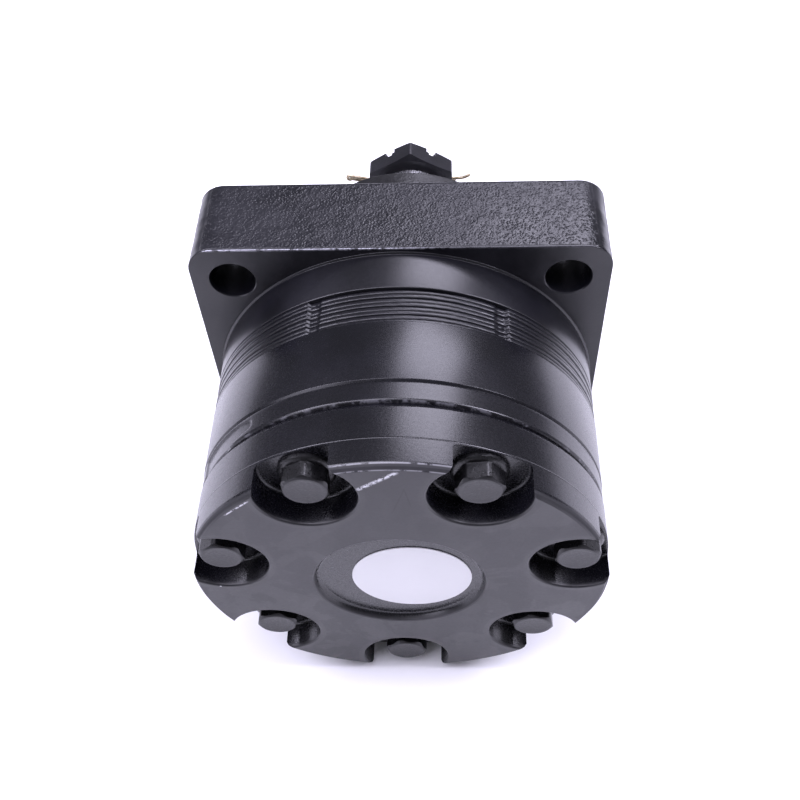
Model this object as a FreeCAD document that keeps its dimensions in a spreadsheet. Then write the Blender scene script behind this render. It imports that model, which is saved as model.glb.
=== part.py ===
"""Low-speed, high-torque hydraulic wheel motor with a roller stator set.

The row frame has +Y along the output shaft, towards its nut, and +Z up. The origin is the centre of the
flange's mounting face. Every piece is drawn along its own +Z and laid over onto +Y by one placement.
"""
import FreeCAD, Part
import math
import os

import Sketcher
from FreeCAD import Placement, Rotation, Vector

doc = FreeCAD.newDocument("HydraulicMotor")
LAID_OVER = Placement(Vector(0, 0, 0), Rotation(Vector(1, 0, 0), -90))

# ------------------------------------------------------------------ driving sizes, in millimetres and degrees
SIZES = {
    # stack, measured back from the mounting face
    "flange_thick": (30.0, "wheel-mount flange"),
    "collar_long": (14.2, "round collar behind the flange"),
    "plate_thick": (1.64, "one manifold lamination"),
    "plate_count": (8, "laminations in the manifold"),
    "stator_thick": (21.6, "roller stator ring"),
    "wear_thick": (7.0, "wear plate"),
    "cover_thick": (21.8, "end cover"),
    "body_dia": (127.0, "outside of the stack"),
    # flange
    "flange_wide": (130.7, "square side"),
    "flange_corner": (8.8, "corner radius"),
    "mount_circle": (147.62, "bolt circle of the flange"),
    "mount_hole": (14.28, "flange bolt hole"),
    "rim_chamfer": (0.3, "rear rims of the flange bolt holes"),
    "pilot_dia": (107.95, "wheel pilot"),
    "pilot_high": (6.4, "wheel pilot"),
    # nose of the housing
    "nose_long": (40.0, "end of the seal boss beyond the mounting face"),
    "nose_dia": (82.6, "nose"),
    "nose_shoulder": (33.7, "end of the nose's full width"),
    "boss_dia": (66.0, "seal boss"),
    # bores of the housing
    "rear_seat_dia": (61.0, "seat of the rear bearing"),
    "rear_seat_far": (-17.0, "front end of that seat"),
    "rear_room_dia": (76.0, "room of the orbiting valve"),
    "rear_room_deep": (8.3, "room of the orbiting valve"),
    "gallery_dia": (55.0, "room around the shaft cup"),
    "thrust_seat": (4.4, "thrust shoulder beyond the mounting face"),
    "front_seat_dia": (47.0, "seat of the front bearing"),
    "seal_seat_dia": (52.0, "seat of both seals"),
    "seal_seat_near": (26.4, "inner end of the seal seat"),
    "nose_recess_dia": (55.0, "open recess at the nose"),
    "nose_recess_near": (37.4, "inner end of that recess"),
    # ports
    "port_spacing": (43.0, "between the two ports"),
    "port_bore": (17.5, "tapping bore of a port"),
    "port_deep": (19.0, "tapped depth"),
    "port_face_dia": (28.6, "spotface"),
    "port_face_x": (63.4, "spotface plane"),
    "port_drill": (6.4, "gallery drill"),
    "port_gallery_x": (37.5, "place of the axial gallery"),
    # cover bolts
    "bolt_circle": (108.8, "circle of the cover bolts"),
    "bolt_count": (7, "cover bolts"),
    "bolt_dia": (7.9, "thread"),
    "bolt_hole": (8.7, "clearance hole"),
    "bolt_tap": (8.0, "hole in the housing"),
    "bolt_tap_deep": (19.0, "hole in the housing"),
    "bolt_reach": (16.6, "thread in the housing"),
    "head_flats": (12.7, "across the flats"),
    "head_high": (7.1, "head with its flange"),
    "head_flange_dia": (16.4, "washer flange of the head"),
    "head_flange_high": (1.7, "washer flange of the head"),
    "head_rim_high": (1.1, "straight rim of that flange"),
    "head_crown_dia": (12.5, "flat circle on top of the head"),
    # cover
    "pocket_dia": (28.7, "bolt pocket"),
    "pocket_deep": (9.0, "bolt pocket"),
    "cover_edge": (1.7, "rounded front edge"),
    "cover_lip_long": (2.0, "bevel beside the wear plate"),
    "cover_lip_deep": (1.3, "bevel beside the wear plate"),
    "recess_dia": (53.0, "centre recess"),
    "recess_deep": (2.2, "centre recess"),
    "label_dia": (36.6, "round blank label"),
    "label_thick": (0.35, "round blank label"),
    "label_x": (3.7, "off centre"),
    # manifold relief
    "relief_deep": (1.3, "flat-bottomed relief on the rim"),
    "relief_from": (62.2, "angle above +X"),
    "relief_to": (111.3, "angle above +X"),
    "relief_ramp": (3.4, "angle of each end ramp"),
    "link_room_dia": (35.0, "passage of the drive link"),
    # rotor set
    "roller_circle": (73.0, "circle of the roller centres"),
    "roller_dia": (13.6, "stator roller"),
    "roller_count": (7, "stator rollers, one more than the rotor's lobes"),
    "orbit": (2.8, "eccentricity of the rotor"),
    "mesh_gap": (0.1, "clearance at each roller"),
    "side_gap": (0.12, "clearance at each flat side"),
    # orbiting valve
    "valve_dia": (72.0, "valve ring"),
    "valve_bore": (19.4, "driven by the link"),
    # splines
    "spline_count": (12, "teeth"),
    "spline_out": (26.0, "link teeth, outside"),
    "spline_root": (21.6, "link teeth, root"),
    "spline_gap": (0.55, "clearance for the wobble"),
    "link_shank": (18.4, "drive link shank"),
    "link_head": (14.0, "length of a splined head"),
    "link_front": (-12.0, "centre of the shaft-end head"),
    "spacer_dia": (19.6, "drive spacer"),
    "spacer_thick": (2.4, "drive spacer"),
    # output shaft
    "cup_dia": (52.0, "cup"),
    "cup_rear": (-34.6, "open end of the cup"),
    "cup_front": (-2.0, "shoulder of the cup"),
    "journal_dia": (38.1, "journal"),
    "taper_start": (37.6, "large end of the taper"),
    "taper_dia": (31.75, "large end of the taper"),
    "taper_end": (67.1, "small end of the taper"),
    "taper_end_dia": (28.0, "small end of the taper"),
    "thread_dia": (22.2, "nut thread"),
    "thread_root": (20.4, "nut thread"),
    "thread_pitch": (1.8, "nut thread"),
    "shaft_end": (78.9, "shaft end"),
    "key_wide": (7.9, "key"),
    "key_long": (19.0, "key"),
    "key_near": (46.5, "key"),
    "key_floor": (10.8, "keyway floor, from the axis"),
    "pin_station": (76.3, "cotter hole"),
    "pin_hole": (3.8, "cotter hole"),
    # nut and cotter
    "nut_flats": (33.3, "across the flats"),
    "nut_gap": (2.3, "bare thread between taper and nut"),
    "nut_high": (8.6, "nut"),
    "nut_slot": (4.2, "slot"),
    "nut_slot_deep": (3.2, "slot"),
    "pin_dia": (2.6, "cotter pin"),
    "pin_left": (24.6, "start of the eye"),
    "pin_right": (19.0, "start of the long leg's bend"),
    "pin_bend": (7.4, "bend radius of the long leg"),
    "pin_turn": (45.0, "turn of the long leg"),
    "pin_lift": (0.55, "pin above the middle of its hole"),
    "pin_knee": (16.6, "bend beside the nut"),
    "pin_rise": (1.75, "eye above the legs"),
    # bearings and seals
    "needle_dia": (2.8, "needle"),
    "needle_long": (14.0, "needle"),
    "needle_count": (24, "needles in each radial bearing"),
    "bearing_long": (18.0, "radial bearing"),
    "bearing_gap": (0.1, "running clearance"),
    "thrust_washer": (1.4, "thrust washer"),
    "thrust_room": (3.6, "between the thrust washers"),
    "thrust_needle": (3.4, "thrust needle"),
    "thrust_count": (28, "needles in the thrust bearing"),
    "seal_dia": (95.4, "middle of each body seal"),
    "seal_section": (2.0, "body seal"),
}

sheet = doc.addObject("Spreadsheet::Sheet", "Sizes")
for row, (alias, (number, meaning)) in enumerate(SIZES.items(), start=1):
    sheet.set(f"A{row}", meaning)
    sheet.set(f"B{row}", str(number))
    sheet.setAlias(f"B{row}", alias)
doc.recompute()


class Size:
    """A length worked out from the sheet: its value now, and the expression that keeps it bound."""

    def __init__(self, value, text):
        self.value = value
        self.text = text

    def _with(self, other, sign, value, swap=False):
        text = other.text if isinstance(other, Size) else repr(other)
        parts = (text, self.text) if swap else (self.text, text)
        return Size(value, f"({parts[0]} {sign} {parts[1]})")

    def __add__(self, other):
        return self._with(other, "+", self.value + number_of(other))

    def __sub__(self, other):
        return self._with(other, "-", self.value - number_of(other))

    def __rsub__(self, other):
        return self._with(other, "-", number_of(other) - self.value, swap=True)

    def __mul__(self, other):
        return self._with(other, "*", self.value * number_of(other))

    def __truediv__(self, other):
        return self._with(other, "/", self.value / number_of(other))

    def __neg__(self):
        return Size(-self.value, f"(0 - {self.text})")


def number_of(size):
    return size.value if isinstance(size, Size) else size


def cell(alias):
    return Size(float(SIZES[alias][0]), f"Sizes.{alias}")


def count(alias):
    return int(SIZES[alias][0])


# ------------------------------------------------------------------ places along the axis, from the cells
COLLAR_FRONT = -cell("flange_thick")
COLLAR_REAR = COLLAR_FRONT - cell("collar_long")
MANIFOLD_REAR = COLLAR_REAR - cell("plate_thick") * count("plate_count")
STATOR_REAR = MANIFOLD_REAR - cell("stator_thick")
WEAR_REAR = STATOR_REAR - cell("wear_thick")
COVER_REAR = WEAR_REAR - cell("cover_thick")
POCKET_FLOOR = COVER_REAR + cell("pocket_deep")
BODY_R = cell("body_dia") / 2
BOLT_R = cell("bolt_circle") / 2
BOLTS = count("bolt_count")
BOLT_STEP = 360.0 / BOLTS
LOWEST_BOLT = 90.0  # a piece's own +Y is straight down once it is laid over


# ------------------------------------------------------------------ drawing helpers
def new_body(label):
    body = doc.addObject("PartDesign::Body", label)
    body.Label = label
    body.Placement = LAID_OVER
    return body


def origin_part(body, role):
    return next(f for f in body.Origin.OriginFeatures if f.Role == role)


def bind(thing, path, size):
    if isinstance(size, Size):
        thing.setExpression(path, size.text)


def new_sketch(body, name, role="XY_Plane", lift=None, turn=0.0):
    """A sketch on one of the body's own origin planes, lifted along its normal and turned about it."""
    sketch = body.newObject("Sketcher::SketchObject", name)
    sketch.AttachmentSupport = [(origin_part(body, role), "")]
    sketch.MapMode = "FlatFace"
    spin = Rotation(Vector(0, 1, 0), turn) if role == "XZ_Plane" else Rotation(Vector(0, 0, 1), turn)
    sketch.AttachmentOffset = Placement(Vector(0, 0, number_of(lift) if lift is not None else 0), spin)
    if lift is not None:
        bind(sketch, "AttachmentOffset.Base.z", lift)
    return sketch


def fix_point(sketch, geometry, end, x, y):
    """Ties one point of the sketch to its place, a coordinate of exactly 0 by the axis itself."""
    for axis, kind, size in ((-2, "DistanceX", x), (-1, "DistanceY", y)):
        if not isinstance(size, Size) and size == 0:
            sketch.addConstraint(Sketcher.Constraint("PointOnObject", geometry, end, axis))
            continue
        index = sketch.addConstraint(
            Sketcher.Constraint(kind, -1, 1, geometry, end, number_of(size))
        )
        bind(sketch, f"Constraints[{index}]", size)


def draw_outline(sketch, points):
    """A closed run of straight lines through the points."""
    first = sketch.GeometryCount
    total = len(points)
    for here in range(total):
        ends = [Vector(number_of(x), number_of(y), 0) for x, y in (points[here], points[(here + 1) % total])]
        sketch.addGeometry(Part.LineSegment(*ends), False)
    for here in range(total):
        follower = first + (here + 1) % total
        sketch.addConstraint(Sketcher.Constraint("Coincident", first + here, 2, follower, 1))
    for here, (x, y) in enumerate(points):
        fix_point(sketch, first + here, 1, x, y)


def draw_circle(sketch, x, y, radius):
    middle = Vector(number_of(x), number_of(y), 0)
    index = sketch.addGeometry(Part.Circle(middle, Vector(0, 0, 1), number_of(radius)), False)
    fix_point(sketch, index, 3, x, y)
    tie = sketch.addConstraint(Sketcher.Constraint("Radius", index, number_of(radius)))
    bind(sketch, f"Constraints[{tie}]", radius)


def revolved(body, name, points, turn=0.0, cut=False, angle=360.0):
    """Turns a (radius, station) outline about the body's axis, as a solid or as a cut."""
    sketch = new_sketch(body, name + "Outline", "XZ_Plane", turn=turn)
    draw_outline(sketch, points)
    feature = body.newObject("PartDesign::Groove" if cut else "PartDesign::Revolution", name)
    feature.Profile = sketch
    feature.ReferenceAxis = (sketch, ["V_Axis"])
    feature.Angle = angle
    body.Tip = feature
    return feature


def ring(body, name, inner, outer, near, far):
    return revolved(body, name, [(inner, near), (outer, near), (outer, far), (inner, far)])


def extruded(body, name, sketch, length, cut=False, back=False):
    """Pads or pockets a sketch by a length along the body's +Z, or along -Z when back is set."""
    feature = body.newObject("PartDesign::Pocket" if cut else "PartDesign::Pad", name)
    feature.Profile = sketch
    feature.Length = number_of(length)
    bind(feature, "Length", length)
    feature.Reversed = (not back) if cut else back
    body.Tip = feature
    return feature


def patterned(body, name, originals, total):
    pattern = body.newObject("PartDesign::PolarPattern", name)
    pattern.Originals = originals
    pattern.Axis = (origin_part(body, "Z_Axis"), [""])
    pattern.Angle = 360
    pattern.Occurrences = total
    body.Tip = pattern
    return pattern


def drill_ring(body, name, radius, hole, near, length, total, start=LOWEST_BOLT):
    """Equal round holes on a circle, cut from station near along +Z."""
    sketch = new_sketch(body, name + "Outline", lift=near)
    angle = math.radians(start)
    draw_circle(sketch, radius * math.cos(angle), radius * math.sin(angle), hole / 2)
    return patterned(body, name + "Ring", [extruded(body, name, sketch, length, cut=True)], total)


def softened(body, name, kind, base, names, size):
    """A Fillet or Chamfer on named edges of the base feature."""
    feature = body.newObject("PartDesign::" + kind, name)
    feature.Base = (base, names)
    path = "Radius" if kind == "Fillet" else "Size"
    setattr(feature, path, number_of(size))
    bind(feature, path, size)
    body.Tip = feature
    return feature


def grouped(label, shapes):
    """Several like solids, already in the row frame, as one sub-part."""
    feature = doc.addObject("Part::Feature", label)
    feature.Label = label
    feature.Shape = Part.makeCompound(shapes)
    return feature


def around(shape, total, start=0.0):
    """Copies of a shape round the motor's axis, the row's +Y."""
    copies = []
    for index in range(total):
        copy = shape.copy()
        copy.rotate(Vector(0, 0, 0), Vector(0, 1, 0), start + index * 360.0 / total)
        copies.append(copy)
    return copies


def hexagon(sketch, flats, turn=0.0):
    """A regular hexagon by its distance across flats, its first corner at the turn angle."""
    corner = flats / math.sqrt(3)
    points = []
    for index in range(6):
        angle = math.radians(turn + 60 * index)
        points.append((tidy(corner, math.cos(angle)), tidy(corner, math.sin(angle))))
    draw_outline(sketch, points)


def tidy(size, factor):
    """size times factor, or a plain 0 where the factor vanishes."""
    return 0 if abs(factor) < 1e-9 else size * factor


def star(sketch, teeth, root, tip, gap=0.0, turn=0.0):
    """A straight-sided spline outline, grown all round by a gap when it is the hole for one."""
    step = 360.0 / teeth
    wide = math.degrees(gap / (number_of(tip) / 2))
    points = []
    for index in range(teeth):
        middle = turn + index * step
        low = root / 2 + gap
        high = tip / 2 + gap
        corners = ((low, -0.30 * step - wide), (high, -0.17 * step - wide))
        corners += ((high, 0.17 * step + wide), (low, 0.30 * step + wide))
        for radius, offset in corners:
            angle = math.radians(middle + offset)
            points.append((tidy(radius, math.cos(angle)), tidy(radius, math.sin(angle))))
    draw_outline(sketch, points)


def box_outline(sketch, left, right, low, high):
    draw_outline(sketch, [(left, low), (right, low), (right, high), (left, high)])


# ------------------------------------------------------------------ housing with its square flange and nose
housing = new_body("wheel_mount_housing")
half = cell("flange_wide") / 2
square = new_sketch(housing, "FlangeOutline", lift=COLLAR_FRONT)
box_outline(square, -half, half, -half, half)
plate = extruded(housing, "Flange", square, cell("flange_thick"))
doc.recompute()
corners = []
for index, edge in enumerate(plate.Shape.Edges, start=1):
    if abs(edge.Vertexes[0].Point.x - edge.Vertexes[-1].Point.x) < 0.01:
        if abs(edge.Vertexes[0].Point.y - edge.Vertexes[-1].Point.y) < 0.01:
            corners.append(f"Edge{index}")
rounded = softened(housing, "FlangeCorners", "Fillet", plate, corners, cell("flange_corner"))
NOSE_END = cell("nose_long")
SHOULDER = cell("nose_shoulder")
PILOT_TOP = cell("pilot_high")
revolved(housing, "TurnedBody", [
    (0, COLLAR_REAR),
    (BODY_R - 0.4, COLLAR_REAR),
    (BODY_R, COLLAR_REAR + 0.4),
    (BODY_R, COLLAR_FRONT + 1.0),
    (cell("pilot_dia") / 2, COLLAR_FRONT + 1.0),
    (cell("pilot_dia") / 2, PILOT_TOP - 1.0),
    (cell("pilot_dia") / 2 - 1.0, PILOT_TOP),
    (cell("nose_dia") / 2 + 2.0, PILOT_TOP),
    (cell("nose_dia") / 2, PILOT_TOP + 2.0),
    (cell("nose_dia") / 2, SHOULDER - 1.0),
    (cell("nose_dia") / 2 - 1.0, SHOULDER),
    (cell("boss_dia") / 2, SHOULDER),
    (cell("boss_dia") / 2, NOSE_END - 1.2),
    (cell("boss_dia") / 2 - 1.2, NOSE_END),
    (0, NOSE_END),
])
revolved(housing, "Bores", [
    (0, COLLAR_REAR - 1.0),
    (cell("rear_room_dia") / 2, COLLAR_REAR - 1.0),
    (cell("rear_room_dia") / 2, COLLAR_REAR + cell("rear_room_deep")),
    (cell("rear_seat_dia") / 2, COLLAR_REAR + cell("rear_room_deep")),
    (cell("rear_seat_dia") / 2, cell("rear_seat_far")),
    (cell("gallery_dia") / 2, cell("rear_seat_far")),
    (cell("gallery_dia") / 2, cell("thrust_seat")),
    (cell("front_seat_dia") / 2, cell("thrust_seat")),
    (cell("front_seat_dia") / 2, cell("seal_seat_near")),
    (cell("seal_seat_dia") / 2, cell("seal_seat_near")),
    (cell("seal_seat_dia") / 2, cell("nose_recess_near")),
    (cell("nose_recess_dia") / 2, cell("nose_recess_near")),
    (cell("nose_recess_dia") / 2, NOSE_END - 0.8),
    (cell("nose_recess_dia") / 2 + 1.4, NOSE_END + 0.6),
    (0, NOSE_END + 0.6),
], cut=True)
drill_ring(housing, "CoverBoltHole", BOLT_R, cell("bolt_tap"), COLLAR_REAR, cell("bolt_tap_deep"), BOLTS)
drill_ring(housing, "MountHole", cell("mount_circle") / 2, cell("mount_hole"), COLLAR_FRONT,
           cell("flange_thick"), 4, start=45.0)
half_seal = cell("seal_section") / 2


def seal_groove(body, name, face, upward):
    """The O-ring groove cut into a flat face, upward or downward from it."""
    depth = cell("seal_section") + 0.05
    middle = cell("seal_dia") / 2
    low, high = (face - 0.5, face + depth) if upward else (face - depth, face + 0.5)
    revolved(body, name, [
        (middle - half_seal - 0.1, low), (middle + half_seal + 0.1, low),
        (middle + half_seal + 0.1, high), (middle - half_seal - 0.1, high),
    ], cut=True)


seal_groove(housing, "RearSealGroove", COLLAR_REAR, True)
PORT_Z = COLLAR_FRONT / 2
for name, bore, near, far in (
    ("PortSpotface", cell("port_face_dia"), half, cell("port_face_x")),
    ("PortTapping", cell("port_bore"), half, cell("port_face_x") - cell("port_deep")),
    ("PortDrill", cell("port_drill"), half, cell("port_gallery_x")),
):
    sketch = new_sketch(housing, name + "Outline", "YZ_Plane", lift=near)
    for side in (-1, 1):
        draw_circle(sketch, cell("port_spacing") / 2 * side, PORT_Z, bore / 2)
    extruded(housing, name, sketch, near - far, cut=True, back=True)
sketch = new_sketch(housing, "PortGalleryOutline", lift=COLLAR_REAR)
for side in (-1, 1):
    draw_circle(sketch, cell("port_gallery_x"), cell("port_spacing") / 2 * side, cell("port_drill") / 2)
extruded(housing, "PortGallery", sketch, PORT_Z - COLLAR_REAR, cut=True)
doc.recompute()
hole_rims = []
for index, edge in enumerate(housing.Tip.Shape.Edges, start=1):
    curve = edge.Curve
    if not isinstance(curve, Part.Circle) or abs(curve.Radius - SIZES["mount_hole"][0] / 2) > 0.02:
        continue
    if abs(curve.Center.z - number_of(COLLAR_FRONT)) < 0.02:
        hole_rims.append(f"Edge{index}")
softened(housing, "MountHoleRims", "Chamfer", housing.Tip, hole_rims, cell("rim_chamfer"))

# ------------------------------------------------------------------ output shaft, key, slotted nut and cotter
shaft = new_body("output_shaft")
crests = []
pitch = cell("thread_pitch")
for index in range(5):
    start = cell("taper_end") + 1.2 + pitch * index
    crests += [(cell("thread_root") / 2, start), (cell("thread_dia") / 2, start + pitch * 0.42)]
    crests += [(cell("thread_dia") / 2, start + pitch * 0.58)]
revolved(shaft, "Turned", [
    (cell("cup_dia") / 2 - 7.0, cell("cup_rear")),
    (cell("cup_dia") / 2 - 0.6, cell("cup_rear")),
    (cell("cup_dia") / 2, cell("cup_rear") + 0.6),
    (cell("cup_dia") / 2, cell("cup_front")),
    (cell("journal_dia") / 2, cell("cup_front")),
    (cell("journal_dia") / 2, cell("taper_start") - 1.6),
    (cell("taper_dia") / 2 + 0.4, cell("taper_start")),
    (cell("taper_dia") / 2, cell("taper_start") + 0.4),
    (cell("taper_end_dia") / 2, cell("taper_end") - 0.5),
    (cell("taper_end_dia") / 2 - 0.5, cell("taper_end")),
    (cell("thread_root") / 2, cell("taper_end")),
    *crests,
    (cell("thread_root") / 2, cell("shaft_end") - 1.6),
    (cell("thread_root") / 2, cell("shaft_end") - 0.6),
    (cell("thread_root") / 2 - 0.6, cell("shaft_end")),
    (0, cell("shaft_end")),
    (0, cell("link_front") - cell("link_head") / 2 - 1.6),
    (cell("cup_dia") / 2 - 7.0, cell("link_front") - cell("link_head") / 2 - 1.6),
])
sketch = new_sketch(shaft, "CupSplineOutline", lift=cell("link_front") - cell("link_head") / 2 - 1.7)
star(sketch, count("spline_count"), cell("spline_root"), cell("spline_out"), gap=SIZES["spline_gap"][0])
extruded(shaft, "CupSpline", sketch, cell("link_head") + 4.6, cut=True)
sketch = new_sketch(shaft, "KeywayOutline", lift=cell("key_near"))
half_key = cell("key_wide") / 2
box_outline(sketch, -half_key, half_key, cell("key_floor"), cell("taper_dia") / 2 + 2.0)
extruded(shaft, "Keyway", sketch, cell("key_long"), cut=True)
sketch = new_sketch(shaft, "CotterHoleOutline", "YZ_Plane", lift=-cell("thread_dia"))
draw_circle(sketch, 0, cell("pin_station"), cell("pin_hole") / 2)
extruded(shaft, "CotterHole", sketch, cell("thread_dia") * 2, cut=True)

key = new_body("shaft_key")
sketch = new_sketch(key, "KeyOutline", lift=cell("key_near") + 0.05)
inside = cell("key_wide") / 2 - 0.03
box_outline(sketch, -inside, inside, cell("key_floor") + 0.02, cell("key_floor") + cell("key_wide"))
extruded(key, "KeyBlock", sketch, cell("key_long") - 0.1)

nut = new_body("slotted_nut")
NUT_NEAR = cell("taper_end") + cell("nut_gap")
NUT_FAR = NUT_NEAR + cell("nut_high")
sketch = new_sketch(nut, "HexOutline", lift=NUT_NEAR)
hexagon(sketch, cell("nut_flats"), turn=90.0)
draw_circle(sketch, 0, 0, cell("thread_dia") / 2 + 0.02)
extruded(nut, "Hex", sketch, cell("nut_high"))
flat_r = cell("nut_flats") / 2
for name, face, inward in (("FarCorners", NUT_FAR, -1.0), ("NearCorners", NUT_NEAR, 1.0)):
    revolved(nut, name, [
        (flat_r - 0.1, face), (flat_r + 5.0, face), (flat_r + 5.0, face + 1.4 * inward),
    ], cut=True)
sketch = new_sketch(nut, "SlotOutline", lift=NUT_FAR - cell("nut_slot_deep"))
box_outline(sketch, cell("thread_dia") / 2 - 2.0, flat_r + 3.0, -cell("nut_slot") / 2, cell("nut_slot") / 2)
slot = extruded(nut, "Slot", sketch, cell("nut_slot_deep") + 1.0, cut=True)
patterned(nut, "Slots", [slot], 6)

# two round legs through the shaft, rising to an eye at the left, the long leg turned up at the right
leg = SIZES["pin_dia"][0] / 4
wire_r = leg - 0.01
left = -SIZES["pin_left"][0]
knee = -SIZES["pin_knee"][0]
right = SIZES["pin_right"][0]
station = SIZES["pin_station"][0]
lift = SIZES["pin_lift"][0]
rise = SIZES["pin_rise"][0]
bend_r = SIZES["pin_bend"][0]
across = Vector(1, 0, 0)
pieces = [Part.makeTorus(leg + 0.45, wire_r, Vector(left - 1.0, station, lift + rise), Vector(0, 1, 0))]
for height, end in ((lift + leg, right), (lift - leg, right - 0.6)):
    corner = Vector(knee, station, height)
    slope = Vector(left - knee, 0, rise)
    pieces.append(Part.makeCylinder(wire_r, end - knee, corner, across))
    pieces.append(Part.makeCylinder(wire_r, slope.Length, corner, slope))
    pieces.append(Part.makeSphere(wire_r, corner))
ring_face = Part.Face(Part.Wire(Part.makeCircle(wire_r, Vector(right, station, lift + leg), across)))
bend_axis = Vector(right, station, lift + leg + bend_r)
pieces.append(ring_face.revolve(bend_axis, Vector(0, -1, 0), SIZES["pin_turn"][0]))
grouped("cotter_pin", [pieces[0].fuse(pieces[1:]).removeSplitter()])

# ------------------------------------------------------------------ bearings and seals on the shaft


def radial_bearing(prefix, shaft_dia, seat_dia, near):
    """Drawn cup, cage and needles round a shaft of this size, from this station forward."""
    gap = cell("bearing_gap")
    track = shaft_dia / 2 + gap
    middle = track + cell("needle_dia") / 2
    total = count("needle_count")
    far = near + cell("bearing_long")
    lip = 1.0
    shell = new_body(prefix + "_bearing_cup")
    revolved(shell, "Cup", [
        (track + 0.5, near), (seat_dia / 2, near), (seat_dia / 2, far), (track + 0.5, far),
        (track + 0.5, far - lip), (middle + cell("needle_dia") / 2 + gap, far - lip),
        (middle + cell("needle_dia") / 2 + gap, near + lip), (track + 0.5, near + lip),
    ])
    cage = new_body(prefix + "_bearing_cage")
    slack = (cell("bearing_long") - cell("needle_long")) / 2
    ring(cage, "Ring", middle - 0.7, middle + 0.7, near + slack - 0.8, far - slack + 0.8)
    window = new_sketch(cage, "WindowOutline", "YZ_Plane", lift=middle - 2.0)
    wide = cell("needle_dia") / 2 + 0.08
    box_outline(window, -wide, wide, near + slack - 0.08, far - slack + 0.08)
    cut = extruded(cage, "Window", window, Size(4.0, "4"), cut=True)
    patterned(cage, "Windows", [cut], total)
    one = Part.makeCylinder(
        number_of(cell("needle_dia")) / 2, number_of(cell("needle_long")),
        Vector(number_of(middle), number_of(near + slack), 0), Vector(0, 1, 0),
    )
    grouped(prefix + "_bearing_needles", around(one, total))


radial_bearing("front", cell("journal_dia"), cell("front_seat_dia"), cell("thrust_seat") + 2.0)
radial_bearing("rear", cell("cup_dia"), cell("rear_seat_dia"), cell("rear_seat_far") - cell("bearing_long"))

thrust_in = cell("journal_dia") / 2 + 0.3
thrust_out = cell("gallery_dia") / 2 - 0.4
for label, near in (
    ("thrust_washer_shaft", cell("cup_front")),
    ("thrust_washer_housing", cell("thrust_seat") - cell("thrust_washer")),
):
    washer = new_body(label)
    ring(washer, "Washer", thrust_in, thrust_out, near, near + cell("thrust_washer"))
thrust_mid = cell("cup_front") + cell("thrust_washer") + cell("thrust_room") / 2
thrust_cage = new_body("thrust_bearing_cage")
ring(thrust_cage, "Ring", thrust_in, thrust_out, thrust_mid - 0.8, thrust_mid + 0.8)
sketch = new_sketch(thrust_cage, "WindowOutline", lift=thrust_mid - 2.0)
wide = cell("thrust_needle") / 2 + 0.06
box_outline(sketch, thrust_in + 1.2, thrust_out - 1.2, -wide, wide)
cut = extruded(thrust_cage, "Window", sketch, Size(4.0, "4"), cut=True)
patterned(thrust_cage, "Windows", [cut], count("thrust_count"))
one = Part.makeCylinder(
    number_of(cell("thrust_needle")) / 2, number_of(thrust_out - thrust_in - 2.6),
    Vector(number_of(thrust_in + 1.3), number_of(thrust_mid), 0), Vector(1, 0, 0),
)
grouped("thrust_bearing_needles", around(one, count("thrust_count")))

journal = cell("journal_dia") / 2
seat = cell("seal_seat_dia") / 2
near = cell("seal_seat_near") + 0.1
shaft_seal = new_body("shaft_seal")
revolved(shaft_seal, "LippedRing", [
    (seat - 1.2, near), (seat, near + 1.0), (seat, near + 6.2), (journal + 1.6, near + 6.2),
    (journal + 1.6, near + 4.6), (journal + 0.06, near + 3.2), (journal + 0.06, near + 2.4),
    (journal + 1.9, near + 0.6), (journal + 2.6, near + 0.6), (journal + 2.9, near + 4.4),
    (seat - 2.2, near + 4.4), (seat - 2.2, near),
])
near = cell("seal_seat_near") + 6.5
dust_seal = new_body("dust_seal")
revolved(dust_seal, "WiperRing", [
    (journal + 2.4, near), (seat, near), (seat, near + 4.4), (seat - 2.4, near + 4.4),
    (seat - 2.8, near + 3.6), (journal + 2.8, near + 3.6), (journal + 1.2, near + 4.9),
    (journal + 0.06, near + 3.9), (journal + 0.06, near + 3.3), (journal + 1.6, near + 1.6),
])

# ------------------------------------------------------------------ orbiting valve ring and drive link
ORBIT = cell("orbit")
ROTOR_MIDDLE = MANIFOLD_REAR - cell("stator_thick") / 2
LINK_SPAN = cell("link_front") - ROTOR_MIDDLE
lean = math.degrees(math.atan2(number_of(ORBIT), number_of(LINK_SPAN)))
valve = new_body("orbiting_valve_ring")
VALVE_HALF = (cell("rear_room_deep") - cell("side_gap") * 2) / 2
VALVE_MID = COLLAR_REAR + cell("rear_room_deep") / 2
offset = number_of(ORBIT) * (SIZES["link_front"][0] - number_of(VALVE_MID)) / number_of(LINK_SPAN)
valve.Placement = Placement(Vector(offset, 0, 0), LAID_OVER.Rotation)
valve_out = cell("valve_dia") / 2
valve_in = cell("valve_bore") / 2
low = VALVE_MID - VALVE_HALF
high = VALVE_MID + VALVE_HALF
revolved(valve, "Ring", [
    (valve_in + 3.0, low), (valve_out - 8.0, low), (valve_out - 8.0, low + 2.4),
    (valve_out - 3.4, low + 2.4), (valve_out - 3.4, low), (valve_out, low), (valve_out, high),
    (valve_out - 4.0, high), (valve_out - 4.0, high - 1.6), (valve_out - 6.4, high - 1.6),
    (valve_out - 6.4, high), (valve_in + 3.0, high), (valve_in, VALVE_MID + 1.4),
    (valve_in, VALVE_MID - 1.4),
])

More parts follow.
